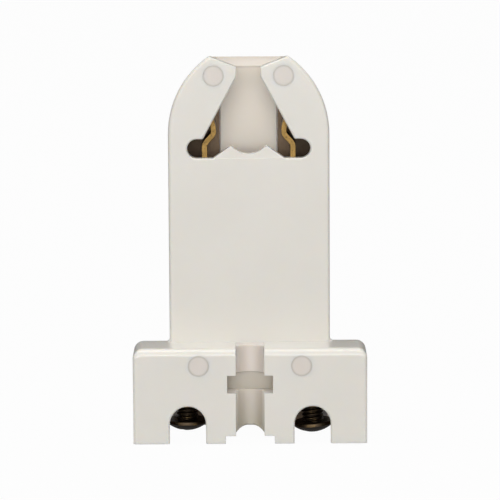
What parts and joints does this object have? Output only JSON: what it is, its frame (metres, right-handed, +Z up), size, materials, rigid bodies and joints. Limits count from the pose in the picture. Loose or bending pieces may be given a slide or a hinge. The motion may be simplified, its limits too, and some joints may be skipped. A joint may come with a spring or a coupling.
{
  "type": "fluorescent tube lamp holder",
  "caption": "Tall moulded holder for one end of a two-pin fluorescent tube, with brass spring contacts and screw terminals in a wide foot.",
  "frame": {"origin": "middle of the mounting face, halfway through the holder's depth", "axes": "+Z up from the mounting face towards the tube entry, -Y out of the face that the tube's pins enter, +X to the right seen from that side"},
  "size_m": [0.0362, 0.0164, 0.0597],
  "materials": {
    "cream_moulding": "satin moulded urea, warm cream",
    "blush_moulding": "satin moulded urea, slightly pinker cream",
    "spring_brass": "stamped strip, dull gold edges over brown faces",
    "dark_bronze": "dark bronzed screw, lightly polished rim"
  },
  "bodies": {
    "holder": {"front_housing": "cream_moulding", "rear_cover": "blush_moulding", "contact_left": "spring_brass", "contact_right": "spring_brass"},
    "screw_left": {"terminal_screw_left": "dark_bronze"},
    "screw_right": {"terminal_screw_right": "dark_bronze"}
  },
  "joints": [
    {"name": "terminal_left", "type": "slide", "parent": "holder", "child": "screw_left", "axis": [0, 0, -1], "range_m": [-0.0023, 0.0012]},
    {"name": "terminal_right", "type": "slide", "parent": "holder", "child": "screw_right", "axis": [0.0872, 0, -0.9962], "range_m": [-0.0024, 0.0008]}
  ]
}
